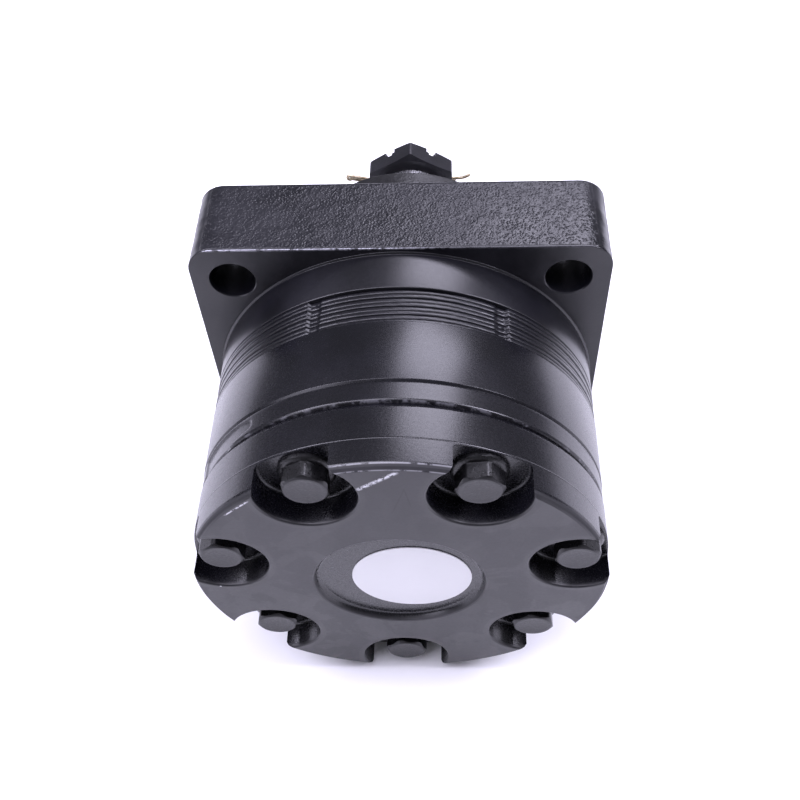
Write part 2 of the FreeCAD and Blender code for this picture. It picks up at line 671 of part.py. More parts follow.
link = new_body("drive_link")
tilt = Rotation(Vector(0, 0, 1), lean)
pivot = Vector(0, SIZES["link_front"][0], 0)
link.Placement = Placement(pivot, tilt).multiply(Placement(Vector(0, 0, 0), LAID_OVER.Rotation))
link_half = cell("link_head") / 2
far_head = LINK_SPAN / math.cos(math.radians(lean))
shank = cell("link_shank") / 2
revolved(link, "Shank", [
    (0, -far_head - link_half),
    (shank - 1.0, -far_head - link_half),
    (shank, -far_head - link_half + 1.0),
    (shank, link_half - 1.0),
    (shank - 1.0, link_half),
    (0, link_half),
])
for name, middle in (("ShaftHead", Size(0.0, "0")), ("RotorHead", -far_head)):
    sketch = new_sketch(link, name + "Outline", lift=middle - link_half + 0.4)
    star(sketch, count("spline_count"), cell("spline_root"), cell("spline_out"))
    extruded(link, name, sketch, cell("link_head") - 0.8)

spacer = new_body("drive_spacer")
near = cell("link_front") + link_half + 0.3
revolved(spacer, "Button", [
    (0, near), (2.0, near), (cell("spacer_dia") / 2, near + 1.0),
    (cell("spacer_dia") / 2, near + cell("spacer_thick") - 0.4),
    (cell("spacer_dia") / 2 - 0.4, near + cell("spacer_thick")), (0, near + cell("spacer_thick")),
])

# ------------------------------------------------------------------ laminated manifold
span = SIZES["relief_to"][0] - SIZES["relief_from"][0] + SIZES["relief_ramp"][0]
for index in range(count("plate_count")):
    lamination = new_body(f"manifold_plate_{index + 1}")
    near = COLLAR_REAR - cell("plate_thick") * (index + 1)
    far = COLLAR_REAR - cell("plate_thick") * index
    revolved(lamination, "Disc", [
        (cell("link_room_dia") / 2, near), (BODY_R - 0.3, near), (BODY_R, near + 0.3),
        (BODY_R, far - 0.3), (BODY_R - 0.3, far), (cell("link_room_dia") / 2, far),
    ])
    start = -SIZES["relief_to"][0] - SIZES["relief_ramp"][0] / 2
    relief = BODY_R - cell("relief_deep")
    revolved(lamination, "RimRelief", [
        (relief, near - 0.5), (BODY_R + 1.0, near - 0.5), (BODY_R + 1.0, far + 0.5), (relief, far + 0.5),
    ], turn=start, cut=True, angle=span)
    drill_ring(lamination, "BoltHole", BOLT_R, cell("bolt_hole"), near, cell("plate_thick"), BOLTS)
    port_r = cell("roller_circle") / 2 - 10.0 + 0.8 * index
    drill_ring(lamination, "ValvePassage", port_r, Size(4.6, "4.6"), near, cell("plate_thick"),
               count("roller_count"), start=180.0 / count("roller_count"))

# ------------------------------------------------------------------ roller stator set
stator = new_body("stator_ring")
ring(stator, "Ring", cell("roller_circle") / 2 - 0.9, BODY_R, STATOR_REAR, MANIFOLD_REAR)
drill_ring(stator, "RollerPocket", cell("roller_circle") / 2, cell("roller_dia") + 0.1, STATOR_REAR,
           cell("stator_thick"), count("roller_count"), start=0.0)
drill_ring(stator, "BoltHole", BOLT_R, cell("bolt_hole"), STATOR_REAR, cell("stator_thick"), BOLTS)
seal_groove(stator, "FrontSealGroove", MANIFOLD_REAR, False)
seal_groove(stator, "RearSealGroove", STATOR_REAR, True)

gap = cell("side_gap")
roller_near = STATOR_REAR + gap
roller_long = cell("stator_thick") - gap * 2
for index in range(count("roller_count")):
    roller = new_body(f"stator_roller_{index + 1}")
    angle = math.radians(index * 360.0 / count("roller_count"))
    centre = SIZES["roller_circle"][0] / 2
    place = Vector(centre * math.cos(angle), 0, -centre * math.sin(angle))
    roller.Placement = Placement(place, LAID_OVER.Rotation)
    radius = cell("roller_dia") / 2
    revolved(roller, "Roller", [
        (0, roller_near), (radius - 0.4, roller_near), (radius, roller_near + 0.4),
        (radius, roller_near + roller_long - 0.4), (radius - 0.4, roller_near + roller_long),
        (0, roller_near + roller_long),
    ])


def lobed_outline(pins, circle, pin_radius, orbit, steps):
    """The curve that stays in touch with every pin while its centre runs round the orbit."""
    points = []
    for index in range(steps):
        turn = 2 * math.pi * index / steps
        back = (1 - pins) * turn
        skew = math.atan2(math.sin(back), circle / (orbit * pins) - math.cos(back))
        x = circle * math.cos(turn) - pin_radius * math.cos(turn + skew) - orbit * math.cos(pins * turn)
        y = -circle * math.sin(turn) + pin_radius * math.sin(turn + skew) + orbit * math.sin(pins * turn)
        points.append(Vector(x, y, 0))
    return points


rotor = new_body("six_lobe_rotor")
rotor.Placement = Placement(Vector(number_of(ORBIT), 0, 0), LAID_OVER.Rotation)
lobes = new_sketch(rotor, "LobeOutline", lift=roller_near)
touching = SIZES["roller_dia"][0] / 2 + SIZES["mesh_gap"][0]
curve = Part.BSplineCurve()
curve.interpolate(
    lobed_outline(count("roller_count"), SIZES["roller_circle"][0] / 2, touching, number_of(ORBIT), 144),
    PeriodicFlag=True,
)
lobes.addGeometry(curve, False)
lobes.addConstraint(Sketcher.Constraint("Block", 0))
extruded(rotor, "Lobes", lobes, roller_long)
sketch = new_sketch(rotor, "SplineOutline", lift=roller_near)
star(sketch, count("spline_count"), cell("spline_root"), cell("spline_out"), gap=SIZES["spline_gap"][0])
extruded(rotor, "Spline", sketch, roller_long, cut=True)

# ------------------------------------------------------------------ wear plate, end cover and its screws
wear = new_body("wear_plate")
revolved(wear, "Disc", [
    (0, WEAR_REAR), (BODY_R - 0.5, WEAR_REAR), (BODY_R - 0.2, WEAR_REAR + 0.3),
    (BODY_R - 0.2, STATOR_REAR - 0.3), (BODY_R - 0.5, STATOR_REAR), (0, STATOR_REAR),
])
drill_ring(wear, "BoltHole", BOLT_R, cell("bolt_hole"), WEAR_REAR, cell("wear_thick"), BOLTS)
revolved(wear, "SideRecess", [
    (BODY_R - 0.75, STATOR_REAR - 5.8), (BODY_R + 1.0, STATOR_REAR - 5.8),
    (BODY_R + 1.0, STATOR_REAR - 1.2), (BODY_R - 0.75, STATOR_REAR - 1.2),
], turn=-158.0, cut=True, angle=27.0)

cover = new_body("end_cover")
edge_long = cell("cover_edge") + 0.4
revolved(cover, "Turned", [
    (0, COVER_REAR + cell("recess_deep")),
    (cell("recess_dia") / 2 - 1.0, COVER_REAR + cell("recess_deep")),
    (cell("recess_dia") / 2 - 0.3, COVER_REAR + cell("recess_deep") - 0.6),
    (cell("recess_dia") / 2, COVER_REAR),
    (BODY_R - 1.5, COVER_REAR),
    (BODY_R - 0.6, COVER_REAR + 0.6),
    (BODY_R, COVER_REAR + edge_long),
    (BODY_R, WEAR_REAR - cell("cover_lip_long")),
    (BODY_R - cell("cover_lip_deep"), WEAR_REAR),
    (0, WEAR_REAR),
])
drill_ring(cover, "BoltPocket", BOLT_R, cell("pocket_dia"), COVER_REAR, cell("pocket_deep"), BOLTS)
drill_ring(cover, "BoltHole", BOLT_R, cell("bolt_hole"), COVER_REAR, cell("cover_thick"), BOLTS)
seal_groove(cover, "SealGroove", WEAR_REAR, False)

label = new_body("blank_label")
label.Placement = Placement(Vector(SIZES["label_x"][0], 0, 0.2), LAID_OVER.Rotation)
recess_floor = COVER_REAR + cell("recess_deep")
revolved(label, "Disc", [
    (0, recess_floor - cell("label_thick")), (cell("label_dia") / 2, recess_floor - cell("label_thick")),
    (cell("label_dia") / 2, recess_floor), (0, recess_floor),
])

# one hexagon flange screw, head towards -Y, then turned into its own final angle at each place
flats = SIZES["head_flats"][0]
reach = number_of(COLLAR_REAR) + SIZES["bolt_reach"][0]
floor = number_of(POCKET_FLOOR)
top = floor - SIZES["head_high"][0]
collar_top = floor - SIZES["head_flange_high"][0]
away = Vector(0, -1, 0)


def hex_screw():
    corner = flats / math.sqrt(3)
    ring_points = [
        Vector(corner * math.cos(math.radians(60 * k)), collar_top, corner * math.sin(math.radians(60 * k)))
        for k in range(7)
    ]
    prism = Part.Face(Part.makePolygon(ring_points)).extrude(Vector(0, top - collar_top, 0))
    crown_base = Vector(0, collar_top, 0)
    crown_long = collar_top - top
    crown_r = SIZES["head_crown_dia"][0] / 2
    crown = Part.makeCone(crown_r + crown_long * 1.75, crown_r, crown_long, crown_base, away)
    skirt_r = SIZES["head_flange_dia"][0] / 2
    rim_high = SIZES["head_rim_high"][0]
    skirt = Part.makeCylinder(skirt_r, rim_high, Vector(0, floor, 0), away)
    slope_base = Vector(0, floor - rim_high, 0)
    slope = Part.makeCone(skirt_r, flats / 2 + 0.5, floor - collar_top - rim_high, slope_base, away)
    thread_r = SIZES["bolt_dia"][0] / 2
    shank_long = reach - floor
    stem = Part.makeCylinder(thread_r, shank_long - 1.0, Vector(0, floor, 0), Vector(0, 1, 0))
    point = Part.makeCone(thread_r, thread_r - 1.0, 1.0, Vector(0, reach - 1.0, 0), Vector(0, 1, 0))
    return prism.common(crown).fuse([skirt, slope, stem, point]).removeSplitter()


HEAD_TURNS = (12.0, 41.0, 20.0, 30.0, 52.0, 38.0, 20.0)
screws = []
for index in range(BOLTS):
    screw = hex_screw()
    screw.rotate(Vector(0, 0, 0), Vector(0, 1, 0), HEAD_TURNS[index])
    angle = math.radians(LOWEST_BOLT + index * BOLT_STEP)
    radius = number_of(BOLT_R)
    screw.translate(Vector(radius * math.cos(angle), 0, -radius * math.sin(angle)))
    screws.append(screw)
grouped("cover_bolts", screws)

for label_text, face, upward in (
    ("seal_housing_manifold", COLLAR_REAR, True),
    ("seal_manifold_stator", MANIFOLD_REAR, False),
    ("seal_stator_wear", STATOR_REAR, True),
    ("seal_wear_cover", WEAR_REAR, False),
):
    seal = new_body(label_text)
    middle = face + half_seal if upward else face - half_seal
    sketch = new_sketch(seal, "Section", "XZ_Plane")
    draw_circle(sketch, cell("seal_dia") / 2, middle, half_seal - 0.02)
    torus = seal.newObject("PartDesign::Revolution", "Ring")
    torus.Profile = sketch
    torus.ReferenceAxis = (sketch, ["V_Axis"])
    torus.Angle = 360
    seal.Tip = torus

# ------------------------------------------------------------------ check every piece and write it out
doc.recompute()
os.makedirs("parts", exist_ok=True)
for thing in doc.Objects:
    if thing.isDerivedFrom("PartDesign::Body") or thing.TypeId == "Part::Feature":
        if "Invalid" in thing.State or "Error" in thing.State:
            raise RuntimeError(f"{thing.Label} has state {thing.State}")
        if thing.Shape.isNull() or not thing.Shape.isValid():
            raise RuntimeError(f"{thing.Label} has no valid shape")
        thing.Shape.exportStep(f"parts/{thing.Label}.step")
        bounds = thing.Shape.BoundBox
        print(f"{thing.Label}: {thing.Shape.Volume:.0f} mm3, {len(thing.Shape.Solids)} solids,",
              f"x {bounds.XMin:.1f}..{bounds.XMax:.1f} y {bounds.YMin:.1f}..{bounds.YMax:.1f}",
              f"z {bounds.ZMin:.1f}..{bounds.ZMax:.1f}")
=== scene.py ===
"""Hydraulic wheel motor: detailed outer pieces, materials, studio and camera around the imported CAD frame."""

import math

import bmesh
import bpy
from mathutils import Euler, Matrix, Vector, noise


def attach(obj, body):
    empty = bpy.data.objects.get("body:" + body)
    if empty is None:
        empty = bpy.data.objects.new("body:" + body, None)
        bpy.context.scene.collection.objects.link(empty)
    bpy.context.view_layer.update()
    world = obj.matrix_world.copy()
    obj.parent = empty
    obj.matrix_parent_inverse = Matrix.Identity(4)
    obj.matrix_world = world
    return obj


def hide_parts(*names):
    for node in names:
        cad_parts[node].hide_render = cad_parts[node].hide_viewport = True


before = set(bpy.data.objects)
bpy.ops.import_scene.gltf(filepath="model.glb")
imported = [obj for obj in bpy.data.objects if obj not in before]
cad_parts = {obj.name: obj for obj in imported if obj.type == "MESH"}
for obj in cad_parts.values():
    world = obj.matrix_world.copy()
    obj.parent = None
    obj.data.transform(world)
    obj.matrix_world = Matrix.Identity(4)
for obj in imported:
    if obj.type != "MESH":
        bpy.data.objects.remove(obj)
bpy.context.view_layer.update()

MM = 0.001
TAU = 2 * math.pi

# Lengths are millimetres unless a name or a comment says otherwise. Stations run along the shaft from the
# mounting face of the flange, positive toward the shaft's tip.
BODY_R = 63.5                # round stack
FLANGE_HALF = 65.35          # half the side of the square flange
FLANGE_CORNER = 8.8
MOUNT_CIRCLE = 147.62
MOUNT_HOLE_R = 7.14
BOLT_COUNT = 7
BOLT_R = 54.4                # circle of the cover bolts
COLLAR_FRONT, COLLAR_REAR, MANIFOLD_REAR = -30.0, -44.2, -57.32
STATOR_REAR, WEAR_REAR, COVER_REAR = -78.92, -85.92, -107.72
POCKET_FLOOR = COVER_REAR + 9.0
POCKET_R = 14.35
RECESS_R = 25.5              # flat of the round recess in the cover's face
FLOOR_Z = -65.4


# ------------------------------------------------------------------ shader node helpers
class Shader:
    """A node material with a Principled shader, and short names for the nodes it uses."""

    def __init__(self, name):
        self.material = bpy.data.materials.new(name)
        self.material.use_nodes = True
        self.tree = self.material.node_tree
        self.tree.nodes.clear()
        output = self.tree.nodes.new("ShaderNodeOutputMaterial")
        self.bsdf = self.tree.nodes.new("ShaderNodeBsdfPrincipled")
        self.link(self.bsdf.outputs[0], output.inputs[0])
        self.place = self.tree.nodes.new("ShaderNodeTexCoord").outputs["Object"]
        split = self.tree.nodes.new("ShaderNodeSeparateXYZ")
        self.link(self.place, split.inputs[0])
        self.x, self.y, self.z = split.outputs

    def link(self, source, socket):
        self.tree.links.new(source, socket)

    def feed(self, socket, value):
        if isinstance(value, bpy.types.NodeSocket):
            self.link(value, socket)
        elif isinstance(value, (tuple, list)) and len(value) == 3 and socket.type == "RGBA":
            socket.default_value = (*value, 1.0)
        else:
            socket.default_value = value

    def set(self, **inputs):
        for name, value in inputs.items():
            self.feed(self.bsdf.inputs[name.replace("_", " ")], value)

    def math(self, operation, a, b=0.0):
        node = self.tree.nodes.new("ShaderNodeMath")
        node.operation = operation
        for socket, value in zip(node.inputs, (a, b)):
            self.feed(socket, value)
        return node.outputs[0]

    def add(self, a, b):
        return self.math("ADD", a, b)

    def both(self, a, b):
        """Product: where both masks hold, or a value scaled."""
        return self.math("MULTIPLY", a, b)

    def either(self, a, b):
        return self.math("MAXIMUM", a, b)

    def remap(self, value, low, high, to_low=0.0, to_high=1.0):
        node = self.tree.nodes.new("ShaderNodeMapRange")
        node.interpolation_type = "SMOOTHSTEP"
        for name, number in (("Value", value), ("From Min", low), ("From Max", high),
                             ("To Min", to_low), ("To Max", to_high)):
            self.feed(node.inputs[name], number)
        return node.outputs[0]

    def stretch(self, scale):
        node = self.tree.nodes.new("ShaderNodeMapping")
        self.link(self.place, node.inputs["Vector"])
        node.inputs["Scale"].default_value = scale
        return node.outputs[0]

    def noise(self, size_mm, detail=3.0, rough=0.55, vector=None, distort=0.0):
        node = self.tree.nodes.new("ShaderNodeTexNoise")
        self.link(vector or self.place, node.inputs["Vector"])
        node.inputs["Scale"].default_value = 1000.0 / size_mm
        node.inputs["Detail"].default_value = detail
        node.inputs["Roughness"].default_value = rough
        node.inputs["Distortion"].default_value = distort
        return node.outputs[0]

    def voronoi(self, size_mm):
        """Distance to the nearest of a field of scattered points."""
        node = self.tree.nodes.new("ShaderNodeTexVoronoi")
        self.link(self.place, node.inputs["Vector"])
        node.inputs["Scale"].default_value = 1000.0 / size_mm
        return node.outputs["Distance"]

    def mix(self, factor, a, b):
        node = self.tree.nodes.new("ShaderNodeMix")
        node.data_type = "RGBA"
        self.feed(node.inputs["Factor"], factor)
        self.feed(node.inputs[6], a)
        self.feed(node.inputs[7], b)
        return node.outputs[2]

    def bump(self, height, strength, distance_mm, before=None):
        node = self.tree.nodes.new("ShaderNodeBump")
        node.inputs["Strength"].default_value = strength
        node.inputs["Distance"].default_value = distance_mm * MM
        self.link(height, node.inputs["Height"])
        if before is not None:
            self.link(before, node.inputs["Normal"])
        return node.outputs[0]

    def axis_radius(self):
        squares = self.add(self.both(self.x, self.x), self.both(self.z, self.z))
        return self.math("SQRT", squares)

    def fade(self, place, low_mm, high_mm, to_low=0.0, to_high=1.0):
        """remap of a coordinate, which is in metres, between two limits given in millimetres."""
        return self.remap(place, low_mm * MM, high_mm * MM, to_low, to_high)

    def band(self, place, low_mm, high_mm, soft_mm):
        """1 where a coordinate lies between two limits in millimetres, fading over soft_mm on either side."""
        rise = self.fade(place, low_mm - soft_mm, low_mm + soft_mm)
        fall = self.fade(place, high_mm - soft_mm, high_mm + soft_mm, 1.0, 0.0)
        return self.both(rise, fall)

    def segment(self, start, end, width_mm, end_fade_mm=0.8):
        """A thin mark on a face across the shaft, from start to end given as (x, z) in millimetres."""
        dx, dz = end[0] - start[0], end[1] - start[1]
        long = math.hypot(dx, dz)
        dx, dz = dx / long, dz / long
        px = self.math("SUBTRACT", self.x, start[0] * MM)
        pz = self.math("SUBTRACT", self.z, start[1] * MM)
        along = self.add(self.both(px, dx), self.both(pz, dz))
        across = self.math("ABSOLUTE", self.math("SUBTRACT", self.both(px, dz), self.both(pz, dx)))
        near = self.fade(across, 0.0, width_mm, 1.0, 0.0)
        return self.both(near, self.band(along, 0.0, long, end_fade_mm))


BLACK = (0.0020, 0.0020, 0.0032)
BLACK_LIGHT = (0.0048, 0.0047, 0.0072)


def satin_paint(name, rough, tint=1.0):
    """Satin black paint over machined steel: mottled, lightly wavy, with a fine bump."""
    s = Shader(name)
    cloud = s.noise(22, 4, 0.6)
    fine = s.noise(0.8, 3, 0.6)
    dark = tuple(v * tint for v in BLACK)
    light = tuple(v * tint for v in BLACK_LIGHT)
    s.colour = s.mix(s.remap(cloud, 0.3, 0.72), dark, light)
    s.rough = s.remap(s.add(s.both(cloud, 0.2), s.both(fine, 0.8)), 0.35, 0.65, *rough)
    turned = s.noise(2.4, 4, 0.6, s.stretch((0.25, 3.2, 0.25)))
    s.normal = s.bump(turned, 0.06, 0.08, s.bump(s.noise(0.9, 2, 0.5), 0.05, 0.08))
    s.set(Base_Color=s.colour, Roughness=s.rough, Normal=s.normal, IOR=1.5)
    return s


# ------------------------------------------------------------------ mesh helpers
def finish_mesh(mesh_builder, name, angle=34.0):
    """Turns a bmesh, drawn in millimetres, into an object in metres with smooth shading under the angle."""
    bmesh.ops.scale(mesh_builder, vec=(MM, MM, MM), verts=mesh_builder.verts)
    bmesh.ops.recalc_face_normals(mesh_builder, faces=mesh_builder.faces)
    mesh = bpy.data.meshes.new(name)
    mesh_builder.to_mesh(mesh)
    mesh_builder.free()
    smooth_under(mesh, angle)
    piece = bpy.data.objects.new(name, mesh)
    bpy.context.scene.collection.objects.link(piece)
    return piece


def smooth_under(mesh, angle):
    mesh.shade_smooth()
    mesh.set_sharp_from_angle(angle=math.radians(angle))


def rounded(corners, steps=5):
    """A (radius, station) outline whose third number rounds each corner: [(r, y, round), ...]."""
    out = []
    total = len(corners)
    for index, corner in enumerate(corners):
        x, y = corner[0], corner[1]
        size = corner[2] if len(corner) > 2 else 0.0
        if size <= 0:
            out.append((x, y))
            continue
        here = Vector((x, y))
        before = Vector(corners[index - 1][:2])
        after = Vector(corners[(index + 1) % total][:2])
        a = (before - here)
        b = (after - here)
        half = a.angle(b) / 2
        reach = min(size / math.tan(half), a.length * 0.49, b.length * 0.49)
        radius = reach * math.tan(half)
        a.normalize()
        b.normalize()
        centre = here + (a + b).normalized() * (radius / math.sin(half))
        start = here + a * reach - centre
        end = here + b * reach - centre
        first = math.atan2(start.y, start.x)
        sweep = (math.atan2(end.y, end.x) - first + math.pi) % TAU - math.pi
        for step in range(steps + 1):
            bend = first + sweep * step / steps
            out.append((centre.x + radius * math.cos(bend), centre.y + radius * math.sin(bend)))
    return out


def lathe(builder, outline, segments=256, closed=True, shift=None, centre=(0.0, 0.0)):
    """Turns an outline about the shaft axis; shift(angle, r, y) may move each point's radius."""
    rings = []
    for r, y in outline:
        if r < 1e-6:
            rings.append([builder.verts.new((centre[0], y, centre[1]))])
            continue
        loop = []
        for index in range(segments):
            angle = TAU * index / segments
            here = r + (shift(angle, r, y) if shift else 0.0)
            loop.append(builder.verts.new((centre[0] + here * math.cos(angle), y,
                                           centre[1] + here * math.sin(angle))))
        rings.append(loop)
    join_loops(builder, rings, closed)


def join_loops(builder, loops, closed=False):
    """Faces between neighbouring loops, where a loop of one vertex is a point on the axis."""
    pairs = list(zip(loops, loops[1:]))
    if closed:
        pairs.append((loops[-1], loops[0]))
    for one, two in pairs:
        total = max(len(one), len(two))
        if total == 1:
            continue
        for index in range(total):
            follower = (index + 1) % total
            if len(one) == 1:
                builder.faces.new((one[0], two[index], two[follower]))
            elif len(two) == 1:
                builder.faces.new((one[index], two[0], one[follower]))
            else:
                builder.faces.new((one[index], two[index], two[follower], one[follower]))


def lathed(name, outline, segments=256, shift=None, closed=True, angle=34.0):
    builder = bmesh.new()
    lathe(builder, outline, segments, closed, shift)
    return finish_mesh(builder, name, angle)


def carve(piece, cutters, angle=34.0):
    """Cuts the cutters out of the piece and removes them, leaving one plain mesh whose flat ends stay flat."""
    for cutter in cutters:
        modifier = piece.modifiers.new("cut", "BOOLEAN")
        modifier.operation = "DIFFERENCE"
        modifier.solver = "EXACT"
        modifier.object = cutter
    graph = bpy.context.evaluated_depsgraph_get()
    mesh = bpy.data.meshes.new_from_object(piece.evaluated_get(graph))
    piece.modifiers.clear()
    old = piece.data
    piece.data = mesh
    bpy.data.meshes.remove(old)
    for cutter in cutters:
        data = cutter.data
        bpy.data.objects.remove(cutter)
        bpy.data.meshes.remove(data)
    smooth_under(mesh, angle)
    for face in mesh.polygons:
        if abs(face.normal.y) > 0.99999:
            face.use_smooth = False


def bolt_places():
    """(x, z) of the cover bolts, the first straight down, the next to its left."""
    for index in range(BOLT_COUNT):
        angle = math.radians(-90 - index * 360 / BOLT_COUNT)
        yield BOLT_R * math.cos(angle), BOLT_R * math.sin(angle)


# ------------------------------------------------------------------ housing: flange, collar, pilot and nose
def square_loop(half, corner, per_side=56, per_corner=14):
    """Points round a square with rounded corners, as (x, z), evenly enough spaced to carry cast texture."""
    points = []
    flat = half - corner
    for quarter in range(4):
        turn = quarter * math.pi / 2
        for step in range(per_side):
            along = -flat + 2 * flat * step / per_side
            x, z = half, along
            points.append((x * math.cos(turn) - z * math.sin(turn), x * math.sin(turn) + z * math.cos(turn)))
        for step in range(per_corner):
            bend = math.pi / 2 * step / per_corner
            x = flat + corner * math.cos(bend)
            z = flat + corner * math.sin(bend)
            points.append((x * math.cos(turn) - z * math.sin(turn), x * math.sin(turn) + z * math.cos(turn)))
    return points


def make_flange():
    """The cast plate: rounded edges, slightly uneven cast sides, machined faces left flat."""
    builder = bmesh.new()
    back_edge, front_edge = 0.28, 0.9
    stations = [(COLLAR_FRONT, back_edge)]
    for step in range(1, 4):
        bend = math.pi / 2 * step / 3
        stations.append((COLLAR_FRONT + back_edge * (1 - math.cos(bend)), back_edge * (1 - math.sin(bend))))
    low, high = COLLAR_FRONT + back_edge, -front_edge
    for step in range(1, 26):
        stations.append((low + (high - low) * step / 26, 0.0))
    for step in range(7):
        bend = math.pi / 2 * step / 6
        stations.append((high + front_edge * math.sin(bend), front_edge * (1 - math.cos(bend))))
    loops = []
    for y, inset in stations:
        outline = square_loop(FLANGE_HALF - inset, FLANGE_CORNER - inset * 0.5)
        loop = []
        for x, z in outline:
            point = Vector((x, y, z))
            blend = min(1.0, max(0.0, (y - COLLAR_FRONT) / 1.5)) * min(1.0, max(0.0, -y / 1.5))
            rough = noise.noise(point / 2.3) * 0.10 + noise.noise(point / 6.0) * 0.10 - 0.13
            outward = Vector((x, 0, z)).normalized()
            point += outward * rough * blend
            loop.append(builder.verts.new(point))
        loops.append(loop)
    total = len(loops[0])
    for one, two in zip(loops, loops[1:]):
        for index in range(total):
            follower = (index + 1) % total
            builder.faces.new((one[index], one[follower], two[follower], two[index]))
    builder.faces.new(loops[0])
    builder.faces.new(loops[-1])
    flange = finish_mesh(builder, "housing_flange", 40)
    cutters = []
    place = MOUNT_CIRCLE / 2 / math.sqrt(2)
    rim_r = MOUNT_HOLE_R + 0.4
    hole = [(0, COLLAR_FRONT - 1), (rim_r, COLLAR_FRONT - 1), (rim_r, COLLAR_FRONT - 0.1),
            (MOUNT_HOLE_R, COLLAR_FRONT + 0.3), (MOUNT_HOLE_R, 1), (0, 1)]
    for sx in (-1, 1):
        for sz in (-1, 1):
            builder = bmesh.new()
            lathe(builder, hole, 72, centre=(sx * place, sz * place))
            cutters.append(finish_mesh(builder, "hole_cutter"))
    port_floor_x, half_spacing = 44.4, 21.5
    port = [(0, 0), (8.0, 0), (8.75, 1.0), (8.75, 17.6), (10.4, 19.0), (14.3, 19.05), (14.3, 26), (0, 26)]
    for sz in (-1, 1):
        builder = bmesh.new()
        lathe(builder, port, 72)
        cutter = finish_mesh(builder, "port_cutter")
        cutter.data.transform(Matrix.Rotation(-math.pi / 2, 4, "Z"))
        middle = Vector((port_floor_x, COLLAR_FRONT / 2, sz * half_spacing))
        cutter.data.transform(Matrix.Translation(middle * MM))
        cutters.append(cutter)
    carve(flange, cutters, angle=40)
    return flange


def make_nose():
    outline = rounded([
        (53.975, -1.0), (53.975, 6.4, 1.0), (42.5, 6.4, 0.4), (41.3, 7.6, 1.0), (41.3, 32.7, 0.5), (40.3, 33.7, 0.4),
        (33.0, 33.7, 0.6), (33.0, 39.0, 0.4), (31.9, 40.0, 0.4), (28.2, 40.0, 0.3), (27.5, 39.3, 0.3),
        (27.5, 37.4), (26.0, 37.4), (26.0, -1.0),
    ], 6)

    def cast(angle, r, y):
        if y < 8.0 or r < 40.9 or y > 32.5:
            return 0.0
        point = Vector((r * math.cos(angle), y, r * math.sin(angle)))
        fade = min(1.0, (y - 8.0) / 3.0, (32.5 - y) / 1.5)
        return (noise.noise(point / 2.4) * 0.08 + noise.noise(point / 7.0) * 0.08 - 0.08) * fade

    return lathed("housing_nose", subdivided(outline, 1.0), 320, cast, angle=40)


def subdivided(outline, longest):
    """Adds points so that no step of a closed outline is longer than this."""
    out = []
    for index, (r, y) in enumerate(outline):
        after = outline[(index + 1) % len(outline)]
        out.append((r, y))
        long = math.hypot(after[0] - r, after[1] - y)
        parts = max(1, int(long / longest))
        for step in range(1, parts):
            out.append((r + (after[0] - r) * step / parts, y + (after[1] - y) * step / parts))
    return out


def make_collar():
    outline = rounded([
        (40.0, COLLAR_REAR), (63.4, COLLAR_REAR, 0.35), (63.4, COLLAR_FRONT - 0.9, 0.3),
        (63.2, COLLAR_FRONT - 0.4, 0.15), (63.9, COLLAR_FRONT - 0.08, 0.15), (64.0, COLLAR_FRONT + 0.6),
        (40.0, COLLAR_FRONT + 0.6),
    ], 4)
    return lathed("housing_collar", outline, 384, angle=40)


# ------------------------------------------------------------------ manifold
PLATES = 8
PLATE_THICK = 1.64
RELIEF_FROM, RELIEF_TO, RAMP = 62.2, 111.3, 3.4      # degrees round the shaft, from the right over the top


def smooth(value):
    value = min(1.0, max(0.0, value))
    return value * value * (3 - 2 * value)


def manifold_shift(angle, r, y):
    """Rim of the lamination stack: plate joints, the long relief and its two uneven channels."""
    if r < 60:
        return 0.0
    degrees = math.degrees(angle)
    inside = smooth((degrees - RELIEF_FROM + 0.3) / 0.7) * smooth((RELIEF_TO + 0.3 - degrees) / 0.7)
    depth = 0.75 * inside
    for middle in (RELIEF_FROM - RAMP / 2, RELIEF_TO + RAMP / 2):
        off = abs(degrees - middle) / (RAMP / 2)
        if off < 1.25:
            wobble = noise.noise(Vector((middle, y * 0.9, 3.1))) * 0.35
            depth = max(depth, (1.15 + wobble) * smooth((1.25 - off) / 0.5))
    end = min(abs(y - COLLAR_REAR), abs(y - MANIFOLD_REAR))
    rough = noise.noise(Vector((degrees * 0.9, y * 2.2, 0.0))) * 0.05
    return -depth + rough * min(1.0, end) - 0.05


def make_manifold():
    """The eight plates as one stack: each stands a little in or out, with a groove at every joint."""
    outline = [(17.5, COLLAR_REAR)]
    lift = (0.0, 0.12, -0.22, 0.06, -0.16, 0.10, -0.12, 0.0)
    gap = 0.17
    for index in range(PLATES):
        top = COLLAR_REAR - PLATE_THICK * index
        low = top - PLATE_THICK
        r = BODY_R - 0.18 + lift[index] * 0.8
        outline += [(r - 0.42, top - 0.02), (r - 0.10, top - gap), (r, top - gap - 0.18)]
        outline += [(r, low + gap + 0.18), (r - 0.10, low + gap), (r - 0.42, low + 0.02)]
    outline += [(17.5, MANIFOLD_REAR)]
    return lathed("manifold_stack", outline, 720, manifold_shift, angle=50)


# ------------------------------------------------------------------ stator, wear plate, end cover
def make_stator():
    outline = rounded([
        (47.0, STATOR_REAR + 0.02), (62.95, STATOR_REAR + 0.02), (63.45, STATOR_REAR + 0.6, 0.2),
        (63.45, MANIFOLD_REAR - 0.02, 0.3), (47.0, MANIFOLD_REAR - 0.02),
    ], 4)
    return lathed("stator_rim", outline, 512)


